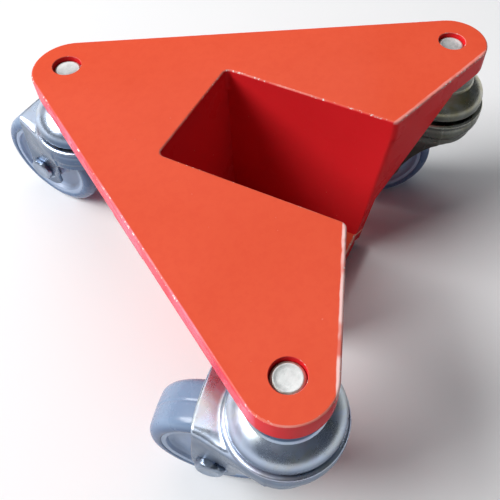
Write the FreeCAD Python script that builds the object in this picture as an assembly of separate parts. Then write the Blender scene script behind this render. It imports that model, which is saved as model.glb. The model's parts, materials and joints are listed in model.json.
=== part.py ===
import FreeCAD, Part
import math
import os

Vector = FreeCAD.Vector
os.makedirs("parts", exist_ok=True)

# Furniture dolly: a thick triangular plate on three swivel castors, with a deep pocket at the
# middle of one side that takes the foot or corner of the load close to the floor.
# +Y runs from the pocket's mouth to the apex castor, +X to the right, +Z up.
# Heights are worked out from the floor; everything is in millimetres.

# ---- driving dimensions: plate and pocket ----
CASTOR_HALF_SPACING = 106.0
APEX_DISTANCE = 173.0
CORNER_RADIUS = 19.0
APEX_CORNER_RADIUS = 21.5
PLATE_THICKNESS = 12.5
PAINTED_EDGE_RADIUS = 1.1
BOLT_RECESS_RADIUS = 7.2
BOLT_RECESS_LEAD_IN = 0.25
BOLT_RECESS_DEPTH = 8.0

POCKET_HALF_WIDTH = 33.0
POCKET_INNER_Y = 98.5
POCKET_MOUTH_Y = 6.0
POCKET_WALL = 6.0
POCKET_DEPTH = 96.0
POCKET_FLOOR_THICKNESS = 9.0
MOUTH_RAKE = 0.13
MOUTH_CORNER_RADIUS = 4.0
INNER_CORNER_RADIUS = 3.0

GUSSET_THICKNESS = 6.0
GUSSET_REACH = 49.0
GUSSET_DROP = 53.0
LIP_RADIUS = 1.5
WELD_LEG = 4.0
WELD_HOLLOW = 0.4
WELD_START = 12.0

# ---- driving dimensions: castors ----
# Each castor is drawn about its own swivel axis: X along the trail, Z = 0 on the mounting face.
CASTOR_HEIGHT = 97.5
WHEEL_RADIUS = 31.75
WHEEL_WIDTH = 24.0
TRAIL = 30.4
SHEET = 2.2
BALL_RADIUS = 2.0
RUNNING_CLEARANCE = 0.05

# castor name: (x, y, direction in which its wheel trails, degrees from +X)
CASTORS = {
    "left": (-CASTOR_HALF_SPACING, 0.0, 101.0),
    "right": (CASTOR_HALF_SPACING, 0.0, 120.0),
    "apex": (0.0, APEX_DISTANCE, 85.0),
}

# mounting bolt, lock washer and nut
BOLT_RADIUS = 4.0
BOLT_CLEARANCE_RADIUS = 4.3
BOLT_HEAD_RADIUS = 6.95
BOLT_HEAD_FLAT_RADIUS = 5.5
BOLT_HEAD_HEIGHT = 6.0
BOLT_HEAD_CHAMFER = 0.9
BOLT_END_BELOW_NUT = 2.0
SQUARE_NECK = 8.4
SQUARE_NECK_LENGTH = 3.0
NUT_FLATS = 13.0
NUT_CORNER_RADIUS = 7.2
NUT_CHAMFER = 0.9
NUT_HEIGHT = 8.0
WASHER_RADIUS = 8.0
WASHER_THICKNESS = 1.6

# raceway cap: neck, dome and rim, as (radius, height) where there are two numbers
CAP_RADIUS = 24.8
CAP_SHEET = 2.0
NECK_RADIUS = 16.6
NECK_BOTTOM = -9.6
DOME_FOOT = (18.4, -11.4)
DOME_MIDDLE = (22.7, -15.6)
CAP_RIM_TOP = -20.5
CAP_RIM_BOTTOM = -23.7

# ball races, kingpin sleeve and the lower race
UPPER_BALL_PITCH = 11.9
UPPER_BALL_COUNT = 14
LOWER_BALL_PITCH = 9.1
LOWER_BALL_COUNT = 12
GROOVE_DEPTH = 0.4
SLEEVE_RADIUS = 6.0
LOWER_RACE_MARGIN = 1.9
CROWN_BORE_RADIUS = 6.8
PLATEAU_RADIUS = 13.3
CONE_WAIST = (13.7, -13.0)
CONE_FOOT_RADIUS = 19.6

# fork: crown, skirt that flares at the sides, shoulder over the wheel, and legs
CROWN_RADIUS = 26.5
RIM_TOP = -26.0
SHOULDER_TOP = -28.6
SHOULDER_FRONT = 36.5
SKIRT_BOTTOM = -40.0
SKIRT_FOOT_RADIUS = 23.8
SKIRT_ARC = 125.0
FLARE_HALF_WIDTH = 26.2
FLARE_REAR = 2.0
FLARE_FRONT = 38.0
FLARE_FOLD = 4.0
FOLD_RADIUS = 3.5
LEG_OUTSIDE = 15.6
LEG_END_RADIUS = 11.0
LEG_END_SETBACK = 1.2
LEG_END_DROP = 2.5

# axle, hub and tyre
AXLE_RADIUS = 4.0
AXLE_SLEEVE_RADIUS = 5.4
AXLE_SEAT_RADIUS = 7.9
AXLE_HEAD_HEIGHT = 4.0
AXLE_NUT_HEIGHT = 6.0
AXLE_END_BEYOND_NUT = 1.2
BUSH_RADIUS = 7.4
HUB_RADIUS = 25.0
HUB_HALF_WIDTH = 11.6
HUB_WEB_HALF = 8.6
HUB_RIM_WALL = 2.6
HUB_BOSS_RADIUS = 10.0
HUB_BOSS_HALF = 12.6
TREAD_SHOULDER = 5.0

# ---- heights that follow ----
PLATE_UNDERSIDE = CASTOR_HEIGHT
PLATE_TOP = CASTOR_HEIGHT + PLATE_THICKNESS
POCKET_FLOOR_TOP = PLATE_TOP - POCKET_DEPTH
POCKET_BOTTOM = POCKET_FLOOR_TOP - POCKET_FLOOR_THICKNESS
AXLE_DROP = CASTOR_HEIGHT - WHEEL_RADIUS
LEG_END = Vector(TRAIL - LEG_END_SETBACK, 0, -AXLE_DROP - LEG_END_DROP)
UPPER_BALL_HEIGHT = -CAP_SHEET - BALL_RADIUS + GROOVE_DEPTH
PLATEAU_TOP = UPPER_BALL_HEIGHT - BALL_RADIUS + GROOVE_DEPTH
LOWER_BALL_HEIGHT = PLATEAU_TOP - SHEET - BALL_RADIUS + GROOVE_DEPTH
LOWER_RACE_TOP = LOWER_BALL_HEIGHT - BALL_RADIUS + GROOVE_DEPTH

# a length that is longer than anything it has to cut through
CLEAR = 40.0

Z_AXIS = Vector(0, 0, 1)
Y_AXIS = Vector(0, 1, 0)
nodes = {}


def box(x0, x1, y0, y1, z0, z1):
    return Part.makeBox(x1 - x0, y1 - y0, z1 - z0, Vector(x0, y0, z0))


def rod(radius, z0, z1, x=0.0, y=0.0):
    return Part.makeCylinder(radius, z1 - z0, Vector(x, y, z0), Z_AXIS)


def tube(outer, inner, z0, z1):
    return rod(outer, z0, z1).cut(rod(inner, z0 - 1, z1 + 1))


def prism(points, direction):
    wire = Part.makePolygon(points + [points[0]])
    return Part.Face(wire).extrude(direction)


def outline(steps):
    """A closed face from a list of steps: each is an end point, or a (middle, end) pair for an arc."""
    edges = []
    here = steps[-1][1] if isinstance(steps[-1], tuple) else steps[-1]
    for step in steps:
        if isinstance(step, tuple):
            middle, end = step
            edges.append(Part.Arc(here, middle, end).toShape())
        else:
            end = step
            edges.append(Part.LineSegment(here, end).toShape())
        here = end
    return Part.Face(Part.Wire(edges))


def spun(steps):
    """Turn a profile of (radius, height) steps about the Z axis."""
    def at(p):
        return Vector(p[0], 0, p[1])
    placed = []
    for step in steps:
        if isinstance(step[0], tuple):
            placed.append((at(step[0]), at(step[1])))
        else:
            placed.append(at(step))
    return outline(placed).revolve(Vector(0, 0, 0), Z_AXIS, 360)


def hexagon(across_flats, z0, z1):
    radius = across_flats / math.sqrt(3)
    corners = []
    for k in range(6):
        angle = math.radians(60 * k + 30)
        corners.append(Vector(radius * math.cos(angle), radius * math.sin(angle), z0))
    return prism(corners, Vector(0, 0, z1 - z0))


def chamfered_hexagon(across_flats, seat, crown):
    """A hexagon from its seat to its crown, with the crown's corners turned off."""
    low, high = min(seat, crown), max(seat, crown)
    slope = NUT_CHAMFER if crown > seat else -NUT_CHAMFER
    turned = spun([(0, seat), (NUT_CORNER_RADIUS, seat), (NUT_CORNER_RADIUS, crown - slope),
                   (across_flats / 2 - NUT_CHAMFER / 2, crown), (0, crown)])
    return hexagon(across_flats, low, high).common(turned)


def group(shapes):
    return Part.makeCompound(shapes)


def polar(centre, radius, degrees):
    angle = math.radians(degrees)
    return centre + Vector(radius * math.cos(angle), radius * math.sin(angle), 0)


# ================= plate =================

RIGHT = Vector(CASTOR_HALF_SPACING, 0, PLATE_UNDERSIDE)
APEX = Vector(0, APEX_DISTANCE, PLATE_UNDERSIDE)

# the two long sides are tangents of the corner rounds, so their normals are square to the centre lines
SIDE_NORMAL = math.degrees(math.atan2(CASTOR_HALF_SPACING, APEX_DISTANCE))

# the pocket side runs from each mouth corner to a tangent of the castor's corner round
MOUTH_RIGHT = Vector(POCKET_HALF_WIDTH, POCKET_MOUTH_Y, PLATE_UNDERSIDE)
MOUTH_REACH = CASTOR_HALF_SPACING - POCKET_HALF_WIDTH
MOUTH_DISTANCE = math.hypot(MOUTH_REACH, POCKET_MOUTH_Y)
FRONT_ANGLE = -math.degrees(math.atan2(POCKET_MOUTH_Y, MOUTH_REACH)
                            + math.asin(CORNER_RADIUS / MOUTH_DISTANCE))
FRONT_NORMAL = FRONT_ANGLE - 90


def mirrored_x(point):
    return Vector(-point.x, point.y, point.z)


def plate():
    right_low = polar(RIGHT, CORNER_RADIUS, FRONT_NORMAL)
    right_mid = polar(RIGHT, CORNER_RADIUS, (FRONT_NORMAL + SIDE_NORMAL) / 2)
    right_high = polar(RIGHT, CORNER_RADIUS, SIDE_NORMAL)
    # the apex is rounder: its centre moves in so that the same two sides stay tangent to it
    move_in = (APEX_CORNER_RADIUS - CORNER_RADIUS) / math.sin(math.radians(SIDE_NORMAL))
    apex_centre = APEX - Vector(0, move_in, 0)
    apex_right = polar(apex_centre, APEX_CORNER_RADIUS, SIDE_NORMAL)
    inner_right = Vector(POCKET_HALF_WIDTH, POCKET_INNER_Y, PLATE_UNDERSIDE)
    face = outline([
        right_low,
        (right_mid, right_high),
        apex_right,
        (polar(apex_centre, APEX_CORNER_RADIUS, 90), mirrored_x(apex_right)),
        mirrored_x(right_high),
        (mirrored_x(right_mid), mirrored_x(right_low)),
        mirrored_x(MOUTH_RIGHT),
        mirrored_x(inner_right),
        inner_right,
        MOUTH_RIGHT,
    ])
    solid = face.extrude(Vector(0, 0, PLATE_THICKNESS))
    solid = round_corners(solid, MOUTH_RIGHT, MOUTH_CORNER_RADIUS)
    solid = round_corners(solid, inner_right, INNER_CORNER_RADIUS)
    square = solid
    solid = solid.makeFillet(PAINTED_EDGE_RADIUS, painted_edges(solid))
    # the underside stays square where the pocket and the gussets are welded on flush
    reach = raked_point(GUSSET_REACH, 0).x
    flush = box(-reach, reach, -20, POCKET_INNER_Y + POCKET_WALL,
                PLATE_UNDERSIDE, PLATE_UNDERSIDE + PAINTED_EDGE_RADIUS)
    solid = solid.fuse(square.common(flush)).removeSplitter()
    for x, y, heading in CASTORS.values():
        recess = rod(BOLT_RECESS_RADIUS, PLATE_TOP - BOLT_RECESS_DEPTH, PLATE_TOP + 1, x, y)
        lead_in = Part.makeCone(BOLT_RECESS_RADIUS, BOLT_RECESS_RADIUS + BOLT_RECESS_LEAD_IN,
                                BOLT_RECESS_LEAD_IN, Vector(x, y, PLATE_TOP - BOLT_RECESS_LEAD_IN))
        through = square_neck(SQUARE_NECK, PLATE_UNDERSIDE - 1, PLATE_TOP)
        through.rotate(Vector(0, 0, 0), Z_AXIS, heading)
        through.translate(Vector(x, y, 0))
        solid = solid.cut(recess).cut(lead_in).cut(through)
    return solid


def round_corners(solid, corner, radius):
    """Round the upright edges that stand at a corner and at its mirror image."""
    picked = []
    for edge in solid.Edges:
        middle = edge.CenterOfMass
        upright = abs(edge.BoundBox.ZLength - PLATE_THICKNESS) < 0.01
        if upright and abs(abs(middle.x) - corner.x) < 0.01 and abs(middle.y - corner.y) < 0.01:
            picked.append(edge)
    return solid.makeFillet(radius, picked)


def painted_edges(solid):
    """All edges of the top face and of the underside."""
    return [edge for edge in solid.Edges if edge.BoundBox.ZLength < 0.01]


# ================= pocket, gussets and welds =================

FRONT_ALONG = Vector(math.cos(math.radians(FRONT_ANGLE)), math.sin(math.radians(FRONT_ANGLE)), 0)
RAKED_DOWN = Vector(0, MOUTH_RAKE, -1)
POCKET_OUTSIDE = POCKET_HALF_WIDTH + POCKET_WALL
RAKED_NORMAL = FRONT_ALONG.cross(RAKED_DOWN).normalize()


def raked_point(along, drop):
    """A point of the raked plane that hangs from the plate's front edge."""
    return MOUTH_RIGHT + FRONT_ALONG * along + RAKED_DOWN * drop


def pocket_side_wall():
    wall = box(POCKET_HALF_WIDTH, POCKET_OUTSIDE, -20, POCKET_INNER_Y + POCKET_WALL,
               POCKET_BOTTOM, PLATE_UNDERSIDE)
    ahead = [raked_point(-40, -40), raked_point(60, -40), raked_point(60, 160), raked_point(-40, 160)]
    return wall.cut(prism(ahead, RAKED_NORMAL * -60))


def gusset():
    heel = POCKET_WALL / FRONT_ALONG.x
    wedge = [raked_point(0, -10), raked_point(GUSSET_REACH, -10), raked_point(GUSSET_REACH, 0),
             raked_point(heel, GUSSET_DROP), raked_point(0, GUSSET_DROP)]
    keep = box(POCKET_OUTSIDE, 200, -60, 60, 0, PLATE_UNDERSIDE)
    return prism(wedge, RAKED_NORMAL * GUSSET_THICKNESS).common(keep)


def fillet_weld(start, end, side):
    """A bead with a triangular section and a hollow face, in the corner under the plate."""
    run = end - start
    toe = start + side * WELD_LEG
    root = start + Vector(0, 0, -WELD_LEG)
    hollow = start + (side - Z_AXIS) * (WELD_LEG * WELD_HOLLOW)
    return outline([toe, (hollow, root), start]).extrude(run)


def both_sides(shape):
    return [shape.mirror(Vector(0, 0, 0), Vector(1, 0, 0)), shape]


def build_frame():
    nodes["top_plate"] = plate()
    left_wall, right_wall = both_sides(pocket_side_wall())
    nodes["pocket_side_wall_left"] = left_wall
    nodes["pocket_side_wall_right"] = right_wall
    nodes["pocket_inner_wall"] = box(-POCKET_HALF_WIDTH, POCKET_HALF_WIDTH, POCKET_INNER_Y,
                                     POCKET_INNER_Y + POCKET_WALL, POCKET_BOTTOM, PLATE_UNDERSIDE)
    nodes["pocket_floor"] = pocket_floor()
    left_gusset, right_gusset = both_sides(gusset())
    nodes["gusset_left"] = left_gusset
    nodes["gusset_right"] = right_gusset
    nodes["weld_beads"] = group(weld_beads())


def pocket_floor():
    lip_y = POCKET_MOUTH_Y + MOUTH_RAKE * (PLATE_UNDERSIDE - POCKET_FLOOR_TOP)
    slab = box(-POCKET_HALF_WIDTH, POCKET_HALF_WIDTH, lip_y, POCKET_INNER_Y,
               POCKET_BOTTOM, POCKET_FLOOR_TOP)
    lip = [edge for edge in slab.Edges
           if edge.BoundBox.YMax < lip_y + 0.01 and edge.BoundBox.ZMin > POCKET_FLOOR_TOP - 0.01]
    return slab.makeFillet(LIP_RADIUS, lip)


def weld_beads():
    back = POCKET_INNER_Y + POCKET_WALL
    behind_gusset = POCKET_MOUTH_Y + WELD_START
    along_wall = fillet_weld(Vector(POCKET_OUTSIDE, behind_gusset, PLATE_UNDERSIDE),
                             Vector(POCKET_OUTSIDE, back, PLATE_UNDERSIDE), Vector(1, 0, 0))
    across_back = fillet_weld(Vector(-POCKET_OUTSIDE, back, PLATE_UNDERSIDE),
                              Vector(POCKET_OUTSIDE, back, PLATE_UNDERSIDE), Vector(0, 1, 0))
    return both_sides(along_wall) + [across_back]


# ================= castors =================

def mounting_bolt():
    """Round head with a broad chamfer, a square neck that stops it turning, and the long shank."""
    head_bottom = PLATE_THICKNESS - BOLT_RECESS_DEPTH
    head_top = head_bottom + BOLT_HEAD_HEIGHT
    head = spun([(0, head_bottom), (BOLT_HEAD_RADIUS, head_bottom),
                 (BOLT_HEAD_RADIUS, head_top - BOLT_HEAD_CHAMFER),
                 (BOLT_HEAD_FLAT_RADIUS, head_top), (0, head_top)])
    end = LOWER_RACE_TOP - SHEET - WASHER_THICKNESS - NUT_HEIGHT - BOLT_END_BELOW_NUT
    neck = square_neck(SQUARE_NECK, head_bottom - SQUARE_NECK_LENGTH, head_bottom)
    return head.fuse(neck).fuse(rod(BOLT_RADIUS, end, head_bottom)).removeSplitter()


def square_neck(side, z0, z1):
    return box(-side / 2, side / 2, -side / 2, side / 2, z0, z1)


def raceway_cap():
    """Pressed cap: a flat top and a neck against the plate, then a dome out to the rim."""
    def inside(point):
        return (point[0] - CAP_SHEET, point[1] - 0.4)
    rim_inner = CAP_RADIUS - CAP_SHEET
    shell = spun([
        (BOLT_CLEARANCE_RADIUS, 0),
        (NECK_RADIUS - 1.0, 0),
        ((NECK_RADIUS - 0.3, -0.3), (NECK_RADIUS, -1.0)),
        (NECK_RADIUS, NECK_BOTTOM),
        ((NECK_RADIUS + 0.5, NECK_BOTTOM - 1.1), DOME_FOOT),
        (DOME_MIDDLE, (CAP_RADIUS, CAP_RIM_TOP)),
        (CAP_RADIUS, CAP_RIM_BOTTOM + 0.5),
        (CAP_RADIUS - 0.5, CAP_RIM_BOTTOM),
        (rim_inner + 0.4, CAP_RIM_BOTTOM),
        (rim_inner, CAP_RIM_TOP),
        (inside(DOME_MIDDLE), (DOME_FOOT[0] - CAP_SHEET, DOME_FOOT[1] - 1.2)),
        (NECK_RADIUS - CAP_SHEET, NECK_BOTTOM - 1.6),
        (NECK_RADIUS - CAP_SHEET, -CAP_SHEET),
        (BOLT_CLEARANCE_RADIUS, -CAP_SHEET),
    ])
    return shell.cut(ball_groove(UPPER_BALL_PITCH, UPPER_BALL_HEIGHT))


def ball_groove(pitch, height):
    return Part.makeTorus(pitch, BALL_RADIUS + RUNNING_CLEARANCE, Vector(0, 0, height), Z_AXIS)


def ball_ring(pitch, height, count):
    balls = []
    for k in range(count):
        balls.append(Part.makeSphere(BALL_RADIUS, polar(Vector(0, 0, height), pitch, 360 * k / count)))
    return group(balls)


def kingpin_sleeve():
    return tube(SLEEVE_RADIUS, BOLT_CLEARANCE_RADIUS, LOWER_RACE_TOP, -CAP_SHEET)


def lower_race():
    outside = LOWER_BALL_PITCH + LOWER_RACE_MARGIN
    ring = tube(outside, BOLT_CLEARANCE_RADIUS, LOWER_RACE_TOP - SHEET, LOWER_RACE_TOP)
    return ring.cut(ball_groove(LOWER_BALL_PITCH, LOWER_BALL_HEIGHT))


def lock_washer():
    top = LOWER_RACE_TOP - SHEET
    return tube(WASHER_RADIUS, BOLT_CLEARANCE_RADIUS, top - WASHER_THICKNESS, top)


def lock_nut():
    top = LOWER_RACE_TOP - SHEET - WASHER_THICKNESS
    nut = chamfered_hexagon(NUT_FLATS, top, top - NUT_HEIGHT)
    return nut.cut(rod(BOLT_RADIUS, top - NUT_HEIGHT - 1, top + 1))


def fork_plan(height, back_radius, rear_half_width, front_half_width):
    """Outline at one height: a round back behind the swivel axis, then two sides that run forward."""
    back = Vector(-back_radius, 0, height)
    left_back = polar(Vector(0, 0, height), back_radius, SKIRT_ARC)
    right_back = polar(Vector(0, 0, height), back_radius, -SKIRT_ARC)
    corners = [
        right_back,
        Vector(FLARE_REAR, -rear_half_width, height),
        Vector(FLARE_FRONT, -front_half_width, height),
        Vector(FLARE_FRONT, front_half_width, height),
        Vector(FLARE_REAR, rear_half_width, height),
        left_back,
    ]
    sides = [Part.LineSegment(a, b).toShape() for a, b in zip(corners, corners[1:])]
    return Part.Wire([Part.Arc(left_back, back, right_back).toShape()] + sides)


def fork_form(inset, front):
    """The solid form of the pressing: the arch over the wheel, and the crown whose sides flow into it."""
    half = LEG_OUTSIDE - inset
    top = SHOULDER_TOP - inset
    foot = LEG_END.z - LEG_END_RADIUS - 1
    arch = box(0, front, -half, half, foot, top)
    folds = [edge for edge in arch.Edges if edge.BoundBox.ZMin > top - 0.01
             and edge.BoundBox.XLength > front - 0.01]
    arch = arch.makeFillet(FOLD_RADIUS - inset, folds)
    skirt_plan = fork_plan(SKIRT_BOTTOM, SKIRT_FOOT_RADIUS - inset, FLARE_HALF_WIDTH - inset, half)
    crown = Part.makeLoft([fork_plan(top, CROWN_RADIUS - inset, CROWN_RADIUS - inset, half), skirt_plan],
                          True, True)
    rim = [edge for edge in crown.Edges if edge.BoundBox.ZMin > top - 0.01
           and edge.BoundBox.XMin < FLARE_FRONT - 0.01]
    crown = crown.makeFillet(FLARE_FOLD - inset, rim)
    legs = Part.makeLoft([skirt_plan, fork_plan(foot, half, half, half)], True, True)
    return crown.fuse(arch).fuse(legs)


def side_profile():
    """The fork seen from the side: shoulder, leg fronts, the round ends at the axle, and the skirt."""
    beside = Vector(0, -CLEAR, 0)
    rear_edge = Vector(9, 0, SKIRT_BOTTOM - 11)

    def end_point(degrees):
        angle = math.radians(degrees)
        reach = Vector(LEG_END_RADIUS * math.cos(angle), 0, LEG_END_RADIUS * math.sin(angle))
        return beside + LEG_END + reach
    face = outline([
        beside + Vector(-CLEAR, 0, 0),
        beside + Vector(SHOULDER_FRONT, 0, 0),
        beside + Vector(SHOULDER_FRONT, 0, SHOULDER_TOP - FOLD_RADIUS),
        end_point(5),
        (end_point(-80), end_point(200)),
        (beside + rear_edge, beside + Vector(0, 0, SKIRT_BOTTOM)),
        beside + Vector(-CLEAR, 0, SKIRT_BOTTOM),
    ])
    return face.extrude(Vector(0, 2 * CLEAR, 0))


def fork():
    """One pressing: the shell of the form, open at the front, with the crown's pan and the axle's seats."""
    outer = fork_form(0.0, CLEAR)
    inner = fork_form(SHEET, CLEAR + 10)
    shell = outer.cut(inner).common(side_profile())
    shell = shell.cut(rod(CROWN_RADIUS - 4, -2 * CLEAR, 0))
    shell = with_axle_seats(shell.fuse(crown_pan()))
    return shell.removeSplitter().cut(axle_hole(AXLE_RADIUS))


def with_axle_seats(shell):
    """Flat round seats in the legs, where the axle's head and nut bear."""
    for side in (1, -1):
        outward = Y_AXIS * side
        outside = Vector(TRAIL, side * LEG_OUTSIDE, -AXLE_DROP)
        shell = shell.cut(Part.makeCylinder(AXLE_SEAT_RADIUS, CLEAR, outside, outward))
        inside = outside - outward * SHEET
        shell = shell.fuse(Part.makeCylinder(AXLE_SEAT_RADIUS, SHEET, inside, outward))
    return shell


def crown_pan():
    """The round pan of the fork: ball plateau, cone and the raised rim that the cap runs over."""
    wall = CROWN_RADIUS - SHEET
    pan = spun([
        (CROWN_BORE_RADIUS, PLATEAU_TOP),
        (PLATEAU_RADIUS, PLATEAU_TOP),
        CONE_WAIST,
        (CONE_FOOT_RADIUS, RIM_TOP + 2.4),
        (CROWN_RADIUS - 4.6, RIM_TOP),
        (CROWN_RADIUS - 2.4, RIM_TOP),
        ((CROWN_RADIUS - 0.7, RIM_TOP - 0.7), (CROWN_RADIUS, RIM_TOP - 2.4)),
        (CROWN_RADIUS, SHOULDER_TOP - 0.5),
        (wall, SHOULDER_TOP - SHEET),
        (CROWN_RADIUS - 5, SHOULDER_TOP - SHEET),
        (CONE_FOOT_RADIUS - 0.6, RIM_TOP - SHEET),
        (CONE_FOOT_RADIUS - SHEET - 0.2, RIM_TOP + 1.6),
        (CONE_WAIST[0] - SHEET, CONE_WAIST[1] - 0.8),
        (PLATEAU_RADIUS - SHEET + 0.2, PLATEAU_TOP - SHEET),
        (CROWN_BORE_RADIUS, PLATEAU_TOP - SHEET),
    ])
    grooved = pan.cut(ball_groove(UPPER_BALL_PITCH, UPPER_BALL_HEIGHT))
    return grooved.cut(ball_groove(LOWER_BALL_PITCH, LOWER_BALL_HEIGHT))


def axle_hole(radius):
    return Part.makeCylinder(radius, 2 * CLEAR, Vector(TRAIL, -CLEAR, -AXLE_DROP), Y_AXIS)


def on_axle(shape):
    """Lay a shape drawn along Z onto the wheel axle, which runs along Y."""
    shape = shape.copy()
    shape.rotate(Vector(0, 0, 0), Vector(1, 0, 0), -90)
    shape.translate(Vector(TRAIL, 0, -AXLE_DROP))
    return shape


def axle_bolt():
    head = chamfered_hexagon(NUT_FLATS, LEG_OUTSIDE, LEG_OUTSIDE + AXLE_HEAD_HEIGHT)
    end = -LEG_OUTSIDE - AXLE_NUT_HEIGHT - AXLE_END_BEYOND_NUT
    return on_axle(head.fuse(rod(AXLE_RADIUS, end, LEG_OUTSIDE)))


def axle_nut():
    nut = chamfered_hexagon(NUT_FLATS, -LEG_OUTSIDE, -LEG_OUTSIDE - AXLE_NUT_HEIGHT)
    return on_axle(nut.cut(rod(AXLE_RADIUS, -CLEAR, 0)))


def axle_sleeve():
    half = LEG_OUTSIDE - SHEET
    return on_axle(tube(AXLE_SLEEVE_RADIUS, AXLE_RADIUS, -half, half))


def wheel_bush():
    bore = AXLE_SLEEVE_RADIUS + RUNNING_CLEARANCE
    return on_axle(tube(BUSH_RADIUS, bore, -HUB_BOSS_HALF, HUB_BOSS_HALF))


def wheel_hub():
    """Moulded core: a rim, a web and a boss, with a dished ring on each face."""
    rim_inside = HUB_RADIUS - HUB_RIM_WALL
    face = [
        (BUSH_RADIUS, HUB_BOSS_HALF),
        (HUB_BOSS_RADIUS, HUB_BOSS_HALF),
        (HUB_BOSS_RADIUS, HUB_WEB_HALF),
        (rim_inside, HUB_WEB_HALF + 1.2),
        (rim_inside + 0.6, HUB_HALF_WIDTH),
        (HUB_RADIUS, HUB_HALF_WIDTH),
    ]
    far_face = [(radius, -height) for radius, height in face]
    return on_axle(spun(far_face + face[::-1]))


def tyre():
    side = WHEEL_WIDTH / 2
    flat = side - TREAD_SHOULDER
    low = WHEEL_RADIUS - TREAD_SHOULDER
    bulge = TREAD_SHOULDER * math.sqrt(0.5)
    return on_axle(spun([
        (HUB_RADIUS, -HUB_HALF_WIDTH), (low, -side),
        ((low + bulge, -flat - bulge), (WHEEL_RADIUS, -flat)),
        (WHEEL_RADIUS, flat),
        ((low + bulge, flat + bulge), (low, side)),
        (HUB_RADIUS, HUB_HALF_WIDTH),
    ]))


CASTOR_PIECES = {
    "mounting_bolt": mounting_bolt,
    "raceway_cap": raceway_cap,
    "kingpin_sleeve": kingpin_sleeve,
    "upper_balls": lambda: ball_ring(UPPER_BALL_PITCH, UPPER_BALL_HEIGHT, UPPER_BALL_COUNT),
    "lower_balls": lambda: ball_ring(LOWER_BALL_PITCH, LOWER_BALL_HEIGHT, LOWER_BALL_COUNT),
    "lower_race": lower_race,
    "lock_washer": lock_washer,
    "lock_nut": lock_nut,
    "fork": fork,
    "axle_bolt": axle_bolt,
    "axle_nut": axle_nut,
    "axle_sleeve": axle_sleeve,
    "wheel_bush": wheel_bush,
    "wheel_hub": wheel_hub,
    "tyre": tyre,
}


def build_castors():
    for piece, make in CASTOR_PIECES.items():
        shape = make()
        for castor, (x, y, heading) in CASTORS.items():
            placed = shape.copy()
            placed.rotate(Vector(0, 0, 0), Z_AXIS, heading)
            placed.translate(Vector(x, y, CASTOR_HEIGHT))
            nodes[castor + "_" + piece] = placed


# ================= origin and export =================

def centre_on_footprint():
    """Move everything so that the origin is on the floor under the middle of the bounding box."""
    whole = Part.makeCompound(list(nodes.values())).optimalBoundingBox(False)
    shift = Vector(-(whole.XMin + whole.XMax) / 2, -(whole.YMin + whole.YMax) / 2, -whole.ZMin)
    for shape in nodes.values():
        shape.translate(shift)
    print("origin shift", shift)


build_frame()
build_castors()
centre_on_footprint()
for name, shape in nodes.items():
    print(name, shape.isValid(), len(shape.Solids), round(shape.Volume, 1))
    shape.exportStep("parts/" + name + ".step")
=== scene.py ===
import json
import math

import bmesh
import bpy
import numpy as np
from mathutils import Matrix, Vector


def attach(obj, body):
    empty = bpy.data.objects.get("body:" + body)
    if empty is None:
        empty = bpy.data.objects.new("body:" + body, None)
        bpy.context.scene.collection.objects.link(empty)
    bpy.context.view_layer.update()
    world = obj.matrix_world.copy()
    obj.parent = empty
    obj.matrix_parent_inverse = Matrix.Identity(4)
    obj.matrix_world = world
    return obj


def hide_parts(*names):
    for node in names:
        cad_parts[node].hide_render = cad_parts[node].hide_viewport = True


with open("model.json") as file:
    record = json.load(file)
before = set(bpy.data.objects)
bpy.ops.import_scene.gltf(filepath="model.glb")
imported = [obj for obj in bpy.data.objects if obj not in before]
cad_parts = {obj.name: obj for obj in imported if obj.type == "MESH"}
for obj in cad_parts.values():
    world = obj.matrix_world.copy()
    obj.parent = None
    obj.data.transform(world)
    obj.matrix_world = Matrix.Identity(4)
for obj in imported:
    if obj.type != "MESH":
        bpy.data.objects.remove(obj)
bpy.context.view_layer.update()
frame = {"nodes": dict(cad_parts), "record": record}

MM = 0.001
TAU = 2 * math.pi

# Dimensions in this script are in millimetres, except where a name or comment says metres.

PLATE_UNDERSIDE = 97.5
PLATE_THICKNESS = 12.5

# Castors: x and y of the swivel axis, and the direction in which the wheel trails, degrees from +X.
CASTORS = {
    "left": (-106.0, -104.521, 101.0),
    "right": (106.0, -104.521, 120.0),
    "apex": (0.0, 68.479, 85.0),
}
TRAIL = 30.4
AXLE_DROP = 65.75


def castor_matrix(castor):
    """Places a shape drawn in millimetres about a castor's swivel axis, X along the trail, Z up."""
    x, y, heading = CASTORS[castor]
    place = Matrix.Translation((x * MM, y * MM, PLATE_UNDERSIDE * MM))
    return place @ Matrix.Rotation(math.radians(heading), 4, "Z") @ Matrix.Diagonal((MM, MM, MM, 1))


# Lays a shape that is turned about Z onto the wheel's axle.
AXLE_FRAME = Matrix.Translation((TRAIL, 0, -AXLE_DROP)) @ Matrix.Rotation(-math.pi / 2, 4, "X")


# ================= meshes =================

def new_piece(name, points, faces, matrix, normals=None, sharp=None):
    """Mesh object with its place baked into its vertices, smooth shaded up to the given angle."""
    mesh = bpy.data.meshes.new(name)
    placed = np.asarray(points, float) @ np.array(matrix.to_3x3()).T + np.array(matrix.translation)
    mesh.from_pydata(placed.tolist(), [], faces)
    mesh.update()
    mesh.polygons.foreach_set("use_smooth", [True] * len(mesh.polygons))
    if sharp is not None:
        mesh.set_sharp_from_angle(angle=math.radians(sharp))
    if normals is not None:
        turned = np.asarray(normals) @ np.array(matrix.to_3x3()).T
        turned /= np.linalg.norm(turned, axis=1)[:, None]
        mesh.normals_split_custom_set_from_vertices(turned.tolist())
    piece = bpy.data.objects.new(name, mesh)
    bpy.context.scene.collection.objects.link(piece)
    return piece


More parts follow.
